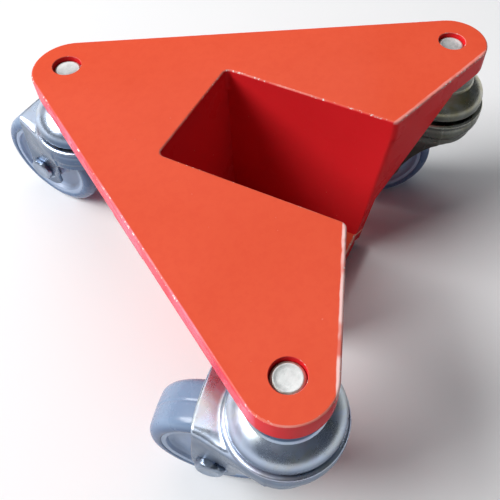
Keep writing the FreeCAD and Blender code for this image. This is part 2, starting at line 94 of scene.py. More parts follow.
def rounded(corners, radii, steps=5):
    """Closed (r, z) polygon with each corner rounded to its own radius."""
    room_used = 0.48
    nearly_straight = math.radians(87)
    out = []
    count = len(corners)
    for k in range(count):
        before, here, after = (Vector(corners[(k + d) % count]) for d in (-1, 0, 1))
        a, b = before - here, after - here
        room = min(a.length, b.length) * room_used
        a.normalize()
        b.normalize()
        half = math.acos(max(-1.0, min(1.0, a.dot(b)))) / 2
        if radii[k] <= 0 or half > nearly_straight:
            out.append(tuple(here))
            continue
        reach = min(radii[k] / math.tan(half), room)
        for s in range(steps + 1):
            t = s / steps
            p = (here + a * reach) * (1 - t) ** 2 + here * 2 * t * (1 - t) + (here + b * reach) * t ** 2
            out.append(tuple(p))
    return out


def lathe(profile, segments=128, bend=None):
    """Closed (r, z) profile turned about Z; bend, if given, moves the points afterwards."""
    profile = np.array(profile, float)
    angles = np.arange(segments) * TAU / segments
    r, z = profile[:, 0], profile[:, 1]
    points = np.stack([np.outer(np.cos(angles), r), np.outer(np.sin(angles), r),
                       np.broadcast_to(z, (segments, len(z)))], axis=-1).reshape(-1, 3)
    count = len(profile)
    faces = []
    for s in range(segments):
        a, b = s * count, ((s + 1) % segments) * count
        for k in range(count):
            m = (k + 1) % count
            faces.append((a + k, b + k, b + m, a + m))
    area = 0.5 * np.sum(r * np.roll(z, -1) - np.roll(r, -1) * z)
    if area < 0:
        faces = [f[::-1] for f in faces]
    if bend is not None:
        points = bend(points)
    return points, faces


# ---- implicit surfaces for the pressings ----

def smooth_min(a, b, k):
    """Union of two distance fields, with a fillet about as wide as k."""
    h = np.clip(0.5 + 0.5 * (b - a) / k, 0, 1)
    return b + (a - b) * h - k * h * (1 - h)


def smooth_max(a, b, k):
    """Intersection of two distance fields, with its edge rounded over a width of about k."""
    return -smooth_min(-a, -b, k)


def ease(t):
    t = np.clip(t, 0, 1)
    return t * t * (3 - 2 * t)


def polygon_distance(px, py, corners):
    """Signed distance to a closed polygon, negative inside."""
    best = None
    inside = None
    for (ax, ay), (bx, by) in zip(corners, corners[1:] + corners[:1]):
        ex, ey = bx - ax, by - ay
        wx, wy = px - ax, py - ay
        t = np.clip((wx * ex + wy * ey) / (ex * ex + ey * ey), 0, 1)
        d = (wx - ex * t) ** 2 + (wy - ey * t) ** 2
        best = d if best is None else np.minimum(best, d)
        crosses = ((ay > py) != (by > py)) & (px < ex * (py - ay) / (ey if ey else 1e-9) + ax)
        inside = crosses if inside is None else inside ^ crosses
    return np.sqrt(best) * np.where(inside, -1, 1)


def line_distance(px, py, corners):
    """Distance to an open run of lines."""
    best = None
    for (ax, ay), (bx, by) in zip(corners, corners[1:]):
        ex, ey = bx - ax, by - ay
        wx, wy = px - ax, py - ay
        t = np.clip((wx * ex + wy * ey) / (ex * ex + ey * ey), 0, 1)
        d = (wx - ex * t) ** 2 + (wy - ey * t) ** 2
        best = d if best is None else np.minimum(best, d)
    return np.sqrt(best)


# the eight corners of a grid cell
CORNERS = [(i, j, k) for i in (0, 1) for j in (0, 1) for k in (0, 1)]


def surface(field, low, high, step, relax=3):
    """Quad mesh on the zero level of a distance field, its points moved onto the exact surface."""
    axes = [np.arange(lo, hi + step, step) for lo, hi in zip(low, high)]
    values = field(axes[0][:, None, None], axes[1][None, :, None], axes[2][None, None, :])
    values = np.ascontiguousarray(np.broadcast_to(values, [len(a) for a in axes]))
    inside = values < 0
    nx, ny, nz = values.shape

    def corner(grid, i, j, k):
        return grid[i:nx - 1 + i, j:ny - 1 + j, k:nz - 1 + k]

    count = sum(corner(inside, *c).astype(np.int8) for c in CORNERS)
    active = (count > 0) & (count < 8)
    index = np.full(active.shape, -1, np.int64)
    cells = np.argwhere(active)
    index[active] = np.arange(len(cells))
    corner_values = {c: corner(values, *c)[active] for c in CORNERS}
    total = np.zeros((len(cells), 3))
    hits = np.zeros(len(cells))
    for a in CORNERS:
        for axis in range(3):
            if a[axis]:
                continue
            b = tuple(1 if n == axis else v for n, v in enumerate(a))
            va, vb = corner_values[a], corner_values[b]
            cut = (va < 0) != (vb < 0)
            t = np.where(cut, va / np.where(cut, va - vb, 1), 0)
            place = np.array(a, float)[None, :] + np.eye(3)[axis][None, :] * t[:, None]
            total += np.where(cut[:, None], place, 0)
            hits += cut
    points = (cells + total / hits[:, None]) * step + np.array(low)
    quads = []
    for axis in range(3):
        u, v = (axis + 1) % 3, (axis + 2) % 3
        lo_slice = [slice(1, n - 1) for n in values.shape]
        hi_slice = list(lo_slice)
        lo_slice[axis] = slice(0, values.shape[axis] - 1)
        hi_slice[axis] = slice(1, values.shape[axis])
        first, second = inside[tuple(lo_slice)], inside[tuple(hi_slice)]
        base = np.array([1 if n != axis else 0 for n in range(3)])
        for mask, flip in ((first & ~second, False), (~first & second, True)):
            at = np.argwhere(mask) + base
            ring = []
            for du, dv in ((-1, -1), (0, -1), (0, 0), (-1, 0)):
                cell = at.copy()
                cell[:, u] += du
                cell[:, v] += dv
                ring.append(index[cell[:, 0], cell[:, 1], cell[:, 2]])
            ring = np.stack(ring[::-1] if flip else ring, axis=1)
            quads.append(ring)
    quads = np.concatenate(quads)

    def project(p, rounds):
        for _ in range(rounds):
            g, f = gradient(field, p)
            p = p - np.clip(f, -step, step)[:, None] * g
        return p

    points = project(points, 2)
    edges = np.concatenate([quads[:, [0, 1]], quads[:, [1, 2]], quads[:, [2, 3]], quads[:, [3, 0]]])
    for _ in range(relax):
        moved = np.zeros_like(points)
        weight = np.zeros(len(points))
        for a, b in ((0, 1), (1, 0)):
            np.add.at(moved, edges[:, a], points[edges[:, b]])
            np.add.at(weight, edges[:, a], 1)
        points = project(points * 0.5 + 0.5 * moved / weight[:, None], 1)
    points = project(points, 2)
    normals, _ = gradient(field, points)
    return points, quads.tolist(), normals


def gradient(field, p, h=0.02):
    """Unit gradient and value of a field at given points."""
    x, y, z = p[:, 0], p[:, 1], p[:, 2]
    gx = field(x + h, y, z) - field(x - h, y, z)
    gy = field(x, y + h, z) - field(x, y - h, z)
    gz = field(x, y, z + h) - field(x, y, z - h)
    g = np.stack([gx, gy, gz], axis=1)
    return g / np.maximum(np.linalg.norm(g, axis=1), 1e-9)[:, None], field(x, y, z)


# ---- fork ----

SHEET = 2.2

# crown: the round rim under the cap, the hollow inside it, and the pan that carries the balls
CROWN_RADIUS = 26.4
RIM_INSET = 0.7
RIM_TOP = -26.0
RIM_ROUND = 1.6
RING_ABOVE_SKIRT = 6.0
RING_ROUND = 1.0
RING_BLEND = 2.8
CROWN_SHELL = 26.0
CROWN_FOLD = 4.0
HOLLOW_RADIUS = 22.4
PAN = [(7.9, -7.1), (12.2, -7.1), (14.2, -13.3), (19.4, -24.8), (22.2, -27.1), (25.2, -27.1)]
PAN_TOP = -5.6
PAN_BLEND = 1.2

# skirt: its radius shrinks from the crown to its foot at the back, and it flares into the legs
SKIRT_BOTTOM = -40.0
SKIRT_FOOT = 23.8
FLARE_HALF = 26.1
FLARE_REAR = 2.0
FLARE_FRONT = 38.0
FLARE_TURN = 1.5
FLARE_SPREAD = 2.7
AHEAD_OF_FLARE = 40
PLAN_BLEND = 2.4
FRONT_ROOM = 3

# shoulder and arch over the wheel; the shoulder's front edge bows back towards the sides
SHOULDER_TOP = -28.6
SHOULDER_FRONT = 37.5
FOLD = 2.4
ARCH_BLEND = 3.0
ARCH_REAR = 4
FRONT_BOW = 0.005
BOW_FROM_X, BOW_OVER_X = 22, 8
BOW_FROM_Z, BOW_OVER_Z = -58, 22

# legs and the flat seats around the axle
LEG_OUTSIDE = 15.6
LEG_END = (29.2, -68.25)
LEG_END_RADIUS = 11.0
LEG_FOOT = -80.0
AXLE_RADIUS = 4.0
SEAT_RADIUS = 7.9
SEAT_BLEND = 0.5

# rounding of the sheet's cut edges
SHEET_ROUND = 0.6
TRIM_ROUND = 1.3
BORE_ROUND = 0.4

FORK_LOW, FORK_HIGH, FORK_GRID = (-29, -29, -82), (43, 29, -3), 0.7


def leg_end(degrees):
    a = math.radians(degrees)
    return (LEG_END[0] + LEG_END_RADIUS * math.cos(a), LEG_END[1] + LEG_END_RADIUS * math.sin(a))


# outline seen from the side: shoulder, front of the legs, their round ends, rear edge and skirt
SIDE_VIEW = [(-40, 4), (SHOULDER_FRONT, 4), (SHOULDER_FRONT, SHOULDER_TOP - FOLD)]
SIDE_VIEW += [leg_end(d) for d in range(5, -165, -10)]
SIDE_VIEW += [(18.0, -66.5), (14.0, -57.5), (9.5, -50.0), (5.5, -44.6), (2.0, -41.4),
              (-2.0, SKIRT_BOTTOM), (-40, SKIRT_BOTTOM)]


def fork_outside(x, y, z):
    """The pressing's outer form: the arch over the wheel, and the crown whose sides flow into it."""
    side = abs(y)
    half = LEG_OUTSIDE - ARCH_BLEND / 4
    qy, qz = side - (half - FOLD), z - (SHOULDER_TOP - FOLD)
    arch = np.hypot(np.maximum(qy, 0), np.maximum(qz, 0)) + np.minimum(np.maximum(qy, qz), 0)
    arch = arch - FOLD
    arch = smooth_max(arch, -x - ARCH_REAR, ARCH_REAR)
    down = np.clip((SKIRT_BOTTOM - z) / (SKIRT_BOTTOM - LEG_FOOT), 0, 1)
    taper = ease((SHOULDER_TOP - z) / (SHOULDER_TOP - SKIRT_BOTTOM))
    rear = half + (FLARE_HALF - half) * (1 - down)
    rise, run = rear - half, FLARE_FRONT - FLARE_REAR
    length = np.hypot(rise, run)
    line = ((x - FLARE_REAR) * rise + (side - rear) * run) / length
    turn = np.arctan2(side, x)
    part = ease((turn - FLARE_TURN) / (FLARE_SPREAD - FLARE_TURN))
    back = CROWN_SHELL + (SKIRT_FOOT - CROWN_SHELL) * taper
    flank_reflection = CROWN_SHELL + (FLARE_HALF - CROWN_SHELL) * taper
    radius = flank_reflection + (back - flank_reflection) * part + AHEAD_OF_FLARE * np.maximum(FLARE_TURN - turn, 0)
    plan = smooth_max(line, np.hypot(x, y) - radius, PLAN_BLEND)
    plan = smooth_max(plan, x - FLARE_FRONT - FRONT_ROOM, FRONT_ROOM)
    rim = np.hypot(x, y) - CROWN_RADIUS + RIM_INSET
    crown = smooth_max(plan, z - SHOULDER_TOP, CROWN_FOLD)
    ring = smooth_max(rim, z - RIM_TOP, RIM_ROUND)
    ring = smooth_max(ring, SKIRT_BOTTOM + RING_ABOVE_SKIRT - z, RING_ROUND)
    return smooth_min(smooth_min(arch, crown, ARCH_BLEND), ring, RING_BLEND)


def fork_field(x, y, z):
    """The fork as one sheet: the form's shell, trimmed from the side, with its pan and axle seats."""
    outer = fork_outside(x, y, z)
    shell = smooth_max(outer, -outer - SHEET, SHEET_ROUND)
    bow = ease((x - BOW_FROM_X) / BOW_OVER_X) * ease((z - BOW_FROM_Z) / BOW_OVER_Z)
    bow = FRONT_BOW * y * y * bow
    shell = smooth_max(shell, polygon_distance(x + bow, z, SIDE_VIEW), TRIM_ROUND)
    r = np.hypot(x, y)
    shell = smooth_max(shell, HOLLOW_RADIUS - r, BORE_ROUND)
    pan = smooth_max(line_distance(r, z, PAN) - SHEET / 2, z - PAN_TOP, BORE_ROUND)
    shell = smooth_min(shell, pan, PAN_BLEND)
    about_axle = np.hypot(x - TRAIL, z + AXLE_DROP)
    spot = np.maximum(LEG_OUTSIDE - abs(y), about_axle - SEAT_RADIUS)
    pad = np.maximum(abs(abs(y) - LEG_OUTSIDE + SHEET / 2) - SHEET / 2, about_axle - SEAT_RADIUS)
    shell = smooth_min(smooth_max(shell, -spot, SEAT_BLEND), pad, SEAT_BLEND)
    return smooth_max(shell, AXLE_RADIUS - about_axle, BORE_ROUND)


# ---- lathe profiles ----

SHANK_RADIUS = 3.95
THREAD_STEP = 0.25


def cap_profile():
    """The raceway cap: a neck against the plate, a dome, and the rim around the fork's crown."""
    outer = [(4.4, 0), (15.6, 0), (16.6, -1.0), (16.6, -9.2), (17.3, -10.66)]
    dome = [math.radians(a) for a in range(12, 91, 6)]
    outer += [(17.2 + 7.6 * math.sin(a) ** 2, -10.6 - 10 * (1 - math.cos(a))) for a in dome]
    outer += [(24.8, -23.5)]
    inner = [(22.8, -23.5), (22.8, -20.8), (22.5, -19.6), (20.9, -16.8), (18.6, -14.2),
             (15.4, -12.4), (14.6, -11.4), (14.6, -2.0), (4.4, -2.0)]
    radii = [0.3, 1.0, 0.8, 2.5, 1.6] + [0] * len(dome) + [0.7, 0.7, 1, 1, 3, 3, 1.2, 1, 0.8, 0.3]
    return rounded(outer + inner, radii)


def tyre_profile():
    """Tread with round shoulders, a slight crown, and the mould's parting groove in the middle."""
    side, radius, seat, shoulder, crown = 12.0, 31.75, 25.0, 5.0, 0.25
    half = [(seat, -11.6), (seat + 0.5, -11.9), (seat + 1.2, -side)]
    for s in range(10):
        a = math.radians(-90 + 10 * s)
        half.append((radius - crown - shoulder + shoulder * math.cos(a),
                     -side + shoulder + shoulder * math.sin(a)))
    half += [(radius - 0.12, -4.5), (radius, -1.2), (radius - 0.02, -0.55), (radius - 0.28, -0.16)]
    return half + [(r, -z) for r, z in half[::-1]]


def hub_profile():
    """Moulded core: boss, dished web and rim, the same on both sides."""
    half = [(7.45, 12.6), (10.0, 12.6), (10.0, 8.4), (12.2, 7.7), (20.6, 8.3), (22.2, 9.6),
            (22.7, 11.3), (24.95, 11.6)]
    radii = [0.2, 0.6, 1.2, 1.6, 1.6, 0.8, 0.5, 0.2]
    return rounded(half + [(r, -z) for r, z in half[::-1]], radii + radii[::-1])


def shank(start, end):
    """Profile points of a plain shank, close enough together to carry a thread."""
    return [(SHANK_RADIUS, float(z)) for z in np.arange(start - THREAD_STEP, end, -THREAD_STEP)]


def mounting_bolt_mesh():
    """Round head with a dished top, and a shank whose lower end carries a rolled thread."""
    base = PLATE_THICKNESS - 8.0
    top, end, thread_top = base + 6.0, -24.4, -9.0
    profile = [(0.001, top - 0.3), (3.5, top - 0.26), (4.9, top - 0.14), (5.35, top - 0.02),
               (5.7, top - 0.05), (6.45, top - 0.45), (6.8, top - 0.9), (6.93, top - 1.4),
               (6.93, base + 0.3), (6.7, base), (SHANK_RADIUS, base)]
    profile += shank(base, end) + [(3.2, end - 0.3), (0.001, end - 0.35)]
    return lathe(profile, 64, lambda points: rolled_thread(points, end, thread_top))


def hexagon(points, across=13.0):
    """Trim round points to a hexagon with the given distance across its flats."""
    r = np.hypot(points[:, 0], points[:, 1])
    turn = np.arctan2(points[:, 1], points[:, 0])
    off_flat = np.mod(turn, TAU / 6) - TAU / 12
    scale = np.minimum(r, across / 2 / np.cos(off_flat)) / np.maximum(r, 1e-6)
    return points * np.stack([scale, scale, np.ones_like(scale)], axis=1)


def rolled_thread(points, low, high, pitch=1.25, depth=0.55):
    """Cut a thread into the part of a shank between two heights."""
    r = np.hypot(points[:, 0], points[:, 1])
    turn = np.arctan2(points[:, 1], points[:, 0])
    on_thread = (np.abs(r - SHANK_RADIUS) < 0.01) & (points[:, 2] > low) & (points[:, 2] < high)
    wave = 0.5 + 0.5 * np.cos(TAU * points[:, 2] / pitch - turn)
    scale = 1 - np.where(on_thread, depth * wave, 0.0) / np.maximum(r, 1e-6)
    return points * np.stack([scale, scale, np.ones_like(scale)], axis=1)


def axle_bolt_mesh():
    """Hexagon head with worn corners and a shallow dish, and a shank threaded where the nut sits."""
    seat, top, end, thread_top = LEG_OUTSIDE, LEG_OUTSIDE + 4.0, -22.8, -14.5
    profile = [(0.001, top - 0.5), (3.6, top - 0.45), (4.7, top - 0.1), (5.2, top),
               (5.8, top - 0.25), (6.5, top - 0.85), (6.95, top - 1.6), (7.0, top - 2.2),
               (7.0, seat + 0.3), (6.7, seat), (SHANK_RADIUS, seat)]
    profile += shank(seat, end + 0.5) + [(3.3, end), (0.001, end)]
    return lathe(profile, 96, lambda points: rolled_thread(hexagon(points), end, thread_top))


def axle_nut_mesh():
    """Hexagon nut with its corners turned off at both faces, and a countersunk bore."""
    seat, top = -LEG_OUTSIDE, -LEG_OUTSIDE - 6.0
    profile = [(4.05, seat), (6.6, seat), (7.0, seat - 0.35), (7.1, seat - 0.9), (7.1, top + 1.2),
               (6.8, top + 0.5), (6.1, top), (4.7, top), (4.05, top + 0.6)]
    return lathe(profile, 96, hexagon)


# ================= materials =================

class Shader:
    """A node material, built up from named steps. Lengths in it are in metres."""

    def __init__(self, name, **settings):
        self.material = bpy.data.materials.new(name)
        self.material.use_nodes = True
        self.tree = self.material.node_tree
        self.bsdf = self.tree.nodes["Principled BSDF"]
        for key, value in settings.items():
            self.bsdf.inputs[key.replace("_", " ")].default_value = value
        self.position = self.add("ShaderNodeTexCoord").outputs["Object"]

    def add(self, kind, *links, **settings):
        node = self.tree.nodes.new(kind)
        for key, value in settings.items():
            if hasattr(node, key):
                setattr(node, key, value)
            else:
                node.inputs[key.replace("_", " ")].default_value = value
        for target, source in links:
            self.tree.links.new(source, node.inputs[target])
        return node

    def noise(self, scale, detail, roughness, distortion=0.0):
        node = self.add("ShaderNodeTexNoise", ("Vector", self.position), Scale=scale, Detail=detail,
                        Roughness=roughness, Distortion=distortion)
        return node.outputs["Fac"]

    def ramp(self, source, low, high, to_low=0.0, to_high=1.0):
        """Eases from one value to another as the source goes from low to high."""
        node = self.add("ShaderNodeMapRange", ("Value", source), interpolation_type="SMOOTHSTEP")
        for key, value in (("From Min", low), ("From Max", high), ("To Min", to_low), ("To Max", to_high)):
            node.inputs[key].default_value = value
        return node.outputs["Result"]

    def math(self, operation, a, b=None):
        node = self.add("ShaderNodeMath", operation=operation)
        for slot, value in enumerate((a, b)):
            if value is None:
                continue
            if isinstance(value, (int, float)):
                node.inputs[slot].default_value = value
            else:
                self.tree.links.new(value, node.inputs[slot])
        return node.outputs[0]

    def mix(self, factor, a, b):
        node = self.add("ShaderNodeMix", data_type="RGBA")
        for slot, value in ((0, factor), (6, a), (7, b)):
            if isinstance(value, (int, float)):
                node.inputs[slot].default_value = value
            elif isinstance(value, tuple):
                node.inputs[slot].default_value = (*value, 1)
            else:
                self.tree.links.new(value, node.inputs[slot])
        return node.outputs[2]

    def normal_part(self, part, kind="Normal"):
        geometry = self.add("ShaderNodeNewGeometry")
        return self.add("ShaderNodeSeparateXYZ", ("Vector", geometry.outputs[kind])).outputs[part]

    def place_part(self, part):
        return self.add("ShaderNodeSeparateXYZ", ("Vector", self.position)).outputs[part]

    def past_line(self, across, along, reach):
        """How far a point is past a line on the plan and past that line's mirror image in X."""
        sideways = self.math("MULTIPLY", self.math("ABSOLUTE", self.place_part("X")), across)
        endways = self.math("MULTIPLY", self.place_part("Y"), along)
        return self.math("SUBTRACT", self.math("ADD", sideways, endways), reach)

    def product(self, first, *others):
        for other in others:
            first = self.math("MULTIPLY", first, other)
        return first

    def color(self, source):
        self.tree.links.new(source, self.bsdf.inputs["Base Color"])

    def rough(self, source):
        self.tree.links.new(source, self.bsdf.inputs["Roughness"])

    def bump(self, source, distance, strength=1.0, below=None):
        node = self.add("ShaderNodeBump", ("Height", source), Distance=distance, Strength=strength)
        if below is not None:
            self.tree.links.new(below, node.inputs["Normal"])
        self.tree.links.new(node.outputs["Normal"], self.bsdf.inputs["Normal"])
        return node.outputs["Normal"]


# Two edges of the plate on the plan, as a normal's x and y and a distance in metres: the edge beside
# the pocket, and the long side. Then the heights of the plate's faces and the pocket's floor lip.
POCKET_EDGE = (-0.3377, -0.9413, 0.08159)
LONG_SIDE = (0.8526, 0.5225, 0.05477)
TOP_ROUND_LOW, TOP_ROUND_HIGH = 0.1079, 0.1090
PLATE_LOW, PLATE_LOW_ROUND = 0.0974, 0.0990
LIP_EDGE_Y, LIP_INNER_Y = -0.0868, -0.0858
LIP_LOW, LIP_ROUND_LOW, LIP_TOP, LIP_ABOVE = 0.0124, 0.0136, 0.0142, 0.0150


def paint_material():
    """Glossy sprayed paint: mottling, orange peel, dust specks, rubbed edges and small chips, with painted
    shade on upright faces and painted highlights and reflections along edges and long sides.
    """
    s = Shader("Paint", Roughness=0.3, Coat_Weight=0.13, Coat_Roughness=0.16, Specular_IOR_Level=0.01)
    broad = s.noise(9, 3, 0.55)
    fine = s.noise(260, 2, 0.6)
    # painted light and shade: faces that look up take a lighter, oranger colour for lit paint and its sheen,
    # upright faces a deeper red for painted shade
    lit_top_mask = s.ramp(s.normal_part("Z"), 0.45, 0.97)
    shaded_side_color = s.mix(s.ramp(broad, 0.3, 0.72), (0.74, 0.017, 0.023), (0.82, 0.021, 0.028))
    lit_top_color = s.mix(s.ramp(broad, 0.3, 0.72), (0.79, 0.094, 0.040), (0.84, 0.108, 0.050))
    body = s.mix(lit_top_mask, shaded_side_color, lit_top_color)
    body = s.mix(s.product(s.ramp(fine, 0.35, 0.7), 0.10), body, (0.66, 0.030, 0.018))

    # rounded edges: worn paler all along, with chips down to the primer in places
    up = s.math("ABSOLUTE", s.normal_part("Z", "True Normal"))
    edge = s.product(s.ramp(up, 0.2, 0.5), s.ramp(up, 0.9, 0.995, 1.0, 0.0))
    chips = s.product(edge, s.ramp(s.noise(480, 4, 0.7), 0.57, 0.62), s.ramp(s.noise(24, 2, 0.5), 0.40, 0.52))
    worn = s.product(edge, s.ramp(s.noise(60, 3, 0.6), 0.35, 0.75, 0.10, 0.6))
    body = s.mix(worn, body, (0.93, 0.42, 0.36))

    # a pale line that wanders along the plate's edge beside the pocket, partly rub wear and partly a painted
    # highlight where the edge starts to round over
    height = s.place_part("Z")
    wander = s.product(s.noise(110, 2, 0.5), 0.0014)
    front = s.math("SUBTRACT", s.past_line(*POCKET_EDGE), wander)
    rubbed_line_and_highlight = s.product(s.ramp(front, -0.0029, -0.0023), s.ramp(front, -0.0013, -0.0008, 1.0, 0.3),
                       s.ramp(height, TOP_ROUND_LOW, TOP_ROUND_HIGH),
                       s.ramp(s.noise(46, 3, 0.6), 0.36, 0.50, 0.15, 0.95),
                       s.ramp(s.place_part("X"), -0.02, 0.02, 1.0, 0.35))
    body = s.mix(rubbed_line_and_highlight, body, (0.98, 0.66, 0.62))

    # the pocket floor's lip, scraped by loads, and paler still as a painted highlight on its rounded edge
    lip_wear_and_highlight = s.product(s.ramp(s.math("ADD", s.place_part("Y"), wander), LIP_EDGE_Y, LIP_INNER_Y, 1.0, 0.0),
                    s.ramp(height, LIP_LOW, LIP_ROUND_LOW), s.ramp(height, LIP_TOP, LIP_ABOVE, 1.0, 0.0),
                    0.75)
    body = s.mix(lip_wear_and_highlight, body, (0.93, 0.66, 0.48))

    # the plate's long sides, given a bluish pink as a painted reflection along them
    flank_reflection = s.product(s.ramp(s.past_line(*LONG_SIDE), -0.0012, -0.0006),
                      s.ramp(height, PLATE_LOW, PLATE_LOW_ROUND),
                      s.ramp(s.noise(30, 3, 0.6), 0.3, 0.7, 0.1, 0.6))
    body = s.mix(flank_reflection, body, (0.84, 0.22, 0.36))

    specks = s.ramp(s.noise(520, 1, 0.3), 0.80, 0.83)
    body = s.mix(s.product(specks, 0.3), body, (0.92, 0.40, 0.30))
    s.color(s.mix(chips, body, (0.88, 0.84, 0.80)))
    s.rough(s.math("ADD", s.ramp(s.noise(38, 4, 0.6), 0.3, 0.75, 0.24, 0.38), s.product(chips, 0.2)))
    peel = s.bump(s.noise(420, 2, 0.5), 0.00003, 0.5)
    peel = s.bump(s.noise(34, 2, 0.5), 0.00014, 0.3, peel)
    s.bump(s.product(chips, -1.0), 0.0001, 0.8, peel)
    return s.material


def zinc_material(name, tint, low, warm, amount, blush):
    """Bright zinc plate: cloudy gloss, fine draw marks, and patches of two passivation tints.

    Faces that look sideways or down take the low colour, a painted shade.
    """
    s = Shader(name, Metallic=1.0, Roughness=0.26)
    clouds = s.noise(42, 4, 0.6, 0.4)
    lit_by_facing = s.ramp(s.normal_part("Z"), 0.0, 0.75)
    cloudy = s.mix(s.ramp(clouds, 0.3, 0.7), tint, tuple(min(1.0, c * 1.14) for c in tint))
    cloudy = s.mix(s.ramp(s.noise(55, 3, 0.6, 0.8), 0.42, 0.68, 0.0, amount), cloudy, warm)
    cloudy = s.mix(s.ramp(s.noise(38, 3, 0.6, 1.2), 0.52, 0.70, 0.0, 0.40), cloudy, blush)
    # painted shade: faces that look sideways or down mostly take the low colour
    base = s.mix(lit_by_facing, s.mix(0.90, cloudy, low), cloudy)
    spots = s.ramp(s.noise(620, 2, 0.6), 0.66, 0.74)
    s.color(s.mix(s.product(spots, 0.35), base, tuple(c * 0.55 for c in tint)))
    s.rough(s.math("ADD", s.ramp(s.noise(75, 4, 0.65), 0.3, 0.75, 0.24, 0.38), s.product(spots, 0.15)))
    fine = s.bump(s.noise(900, 3, 0.6), 0.00002, 0.6)
    s.bump(s.noise(85, 2, 0.5), 0.00018, 0.35, fine)
    return s.material


def steel_material(name, tint, low, high, grain):
    """Turned or cold-formed fastener steel with a fine grain and dull spots."""
    s = Shader(name, Metallic=1.0, Roughness=low)
    base = s.mix(s.ramp(s.noise(150, 4, 0.65), 0.32, 0.7), tint, tuple(c * 0.72 for c in tint))
    spots = s.ramp(s.noise(grain, 3, 0.7), 0.58, 0.72)
    s.color(s.mix(s.product(spots, 0.5), base, (0.30, 0.29, 0.27)))
    s.rough(s.ramp(s.noise(240, 4, 0.65), 0.3, 0.72, low, high))
    s.bump(s.noise(grain, 3, 0.65), 0.00006, 0.7)
    return s.material


def head_material():
    """Bolt heads: the flat worn bright and painted lighter as a painted highlight, the rest still dull with
    olive passivation and painted darker as painted shade.
    """
    s = Shader("BoltHeads", Metallic=0.6, Roughness=0.3)
    # painted highlight on the flat top, painted shade on the chamfer and sides
    lit_flat_mask = s.ramp(s.normal_part("Z"), 0.93, 0.985)
    dull = s.mix(s.ramp(s.noise(300, 4, 0.7), 0.35, 0.65), (0.44, 0.45, 0.37), (0.64, 0.65, 0.57))
    lit_top_color = s.mix(s.ramp(s.noise(210, 4, 0.7), 0.35, 0.7), (0.80, 0.82, 0.81), (0.62, 0.65, 0.64))
    spots = s.ramp(s.noise(900, 3, 0.7), 0.60, 0.70)
    s.color(s.mix(s.product(spots, 0.4), s.mix(lit_flat_mask, dull, lit_top_color), (0.40, 0.41, 0.38)))
    s.rough(s.ramp(s.noise(260, 4, 0.65), 0.3, 0.72, 0.30, 0.46))
    s.bump(s.noise(700, 3, 0.65), 0.00008, 0.7)
    return s.material


def moulded_material(name, tint, low, rough, dark=0.86, grain=420.0, depth=0.00004):
    """Moulded plastic or rubber: faint flow clouds, fine grain and scuffs.

    Upright faces take the low colour, a painted shade.
    """
    s = Shader(name, Roughness=rough)
    clouds = s.ramp(s.noise(46, 4, 0.6, 0.6), 0.3, 0.72)
    base = s.mix(clouds, tuple(c * dark for c in tint), tint)
    lit_by_facing = s.ramp(s.math("ABSOLUTE", s.normal_part("Z")), 0.05, 0.7)
    # painted shade: upright faces mostly take the low colour
    base = s.mix(lit_by_facing, s.mix(0.8, base, low), base)
    scuff = s.ramp(s.noise(130, 5, 0.72, 1.2), 0.60, 0.70)
    s.color(s.mix(s.product(scuff, 0.30), base, tuple(c * 0.62 for c in tint)))
    s.rough(s.math("ADD", s.ramp(s.noise(90, 4, 0.6), 0.3, 0.72, rough - 0.06, rough + 0.08),
                   s.product(scuff, 0.12)))
    s.bump(s.noise(grain, 3, 0.6), depth, 0.6)
    return s.material


# each zinc tint is its lit colour on faces that look up; the shaded colours are painted shade for faces that
# look sideways or down
BLUE_ZINC = (0.62, 0.72, 0.90)
SHADED_ZINC = (0.035, 0.08, 0.16)
BLUSH = (0.66, 0.50, 0.62)
OLIVE_ZINC = (0.66, 0.65, 0.56)
SHADED_OLIVE = (0.05, 0.06, 0.06)

MATERIALS = {
    "paint": paint_material(),
    "left_zinc": zinc_material("Zinc.left", BLUE_ZINC, SHADED_ZINC, (0.66, 0.66, 0.46), 0.45, BLUSH),
    "apex_zinc": zinc_material("Zinc.apex", BLUE_ZINC, SHADED_ZINC, (0.60, 0.60, 0.50), 0.35, BLUSH),
    "right_zinc": zinc_material("Zinc.right", OLIVE_ZINC, SHADED_OLIVE, (0.50, 0.43, 0.16), 0.8,
                                (0.34, 0.36, 0.24)),
    "bolt_steel": steel_material("FastenerSteel", (0.36, 0.43, 0.54), 0.26, 0.44, 700.0),
    "bolt_heads": head_material(),
    "steel": steel_material("TurnedSteel", (0.62, 0.63, 0.65), 0.22, 0.36, 520.0),
    "ball_steel": steel_material("BallSteel", (0.80, 0.80, 0.82), 0.08, 0.16, 900.0),
    # the second colour of each moulded material is painted shade on its upright faces
    "bush_plastic": moulded_material("BushPlastic", (0.62, 0.62, 0.58), (0.40, 0.40, 0.37), 0.5),
    "hub_plastic": moulded_material("HubPlastic", (0.42, 0.51, 0.68), (0.32, 0.42, 0.60), 0.34),
    "tyre_rubber": moulded_material("TyreRubber", (0.22, 0.31, 0.46), (0.035, 0.09, 0.22), 0.27,
                                    0.9, 300.0, 0.00003),
}


def finish_with(piece, slot, castor=None):
    """Gives a piece its slot's material; zinc differs between the castors."""
    key = f"{castor}_zinc" if slot == "zinc" else slot
    piece.data.materials.clear()
    piece.data.materials.append(MATERIALS[key])


SLOTS = {row["node"]: row["material_slot"] for row in frame["record"]["subparts"]}


# ================= pieces =================

def castor_piece(castor, part, body, mesh, matrix=None, normals=None, sharp=None):
    """A detailed piece in place of a castor's CAD node, riding on the given body."""
    node = f"{castor}_{part}"
    place = castor_matrix(castor) @ matrix if matrix is not None else castor_matrix(castor)
    piece = new_piece(f"{node}_detail", mesh[0], mesh[1], place, normals, sharp)
    finish_with(piece, SLOTS[node], castor)
    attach(piece, body)
    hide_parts(node)
    return piece


PLATES = ["top_plate", "pocket_side_wall_left", "pocket_side_wall_right", "pocket_inner_wall", "pocket_floor",
          "gusset_left", "gusset_right"]
WELD_POINTS = 2e-6
SKIN_SHARP = 28


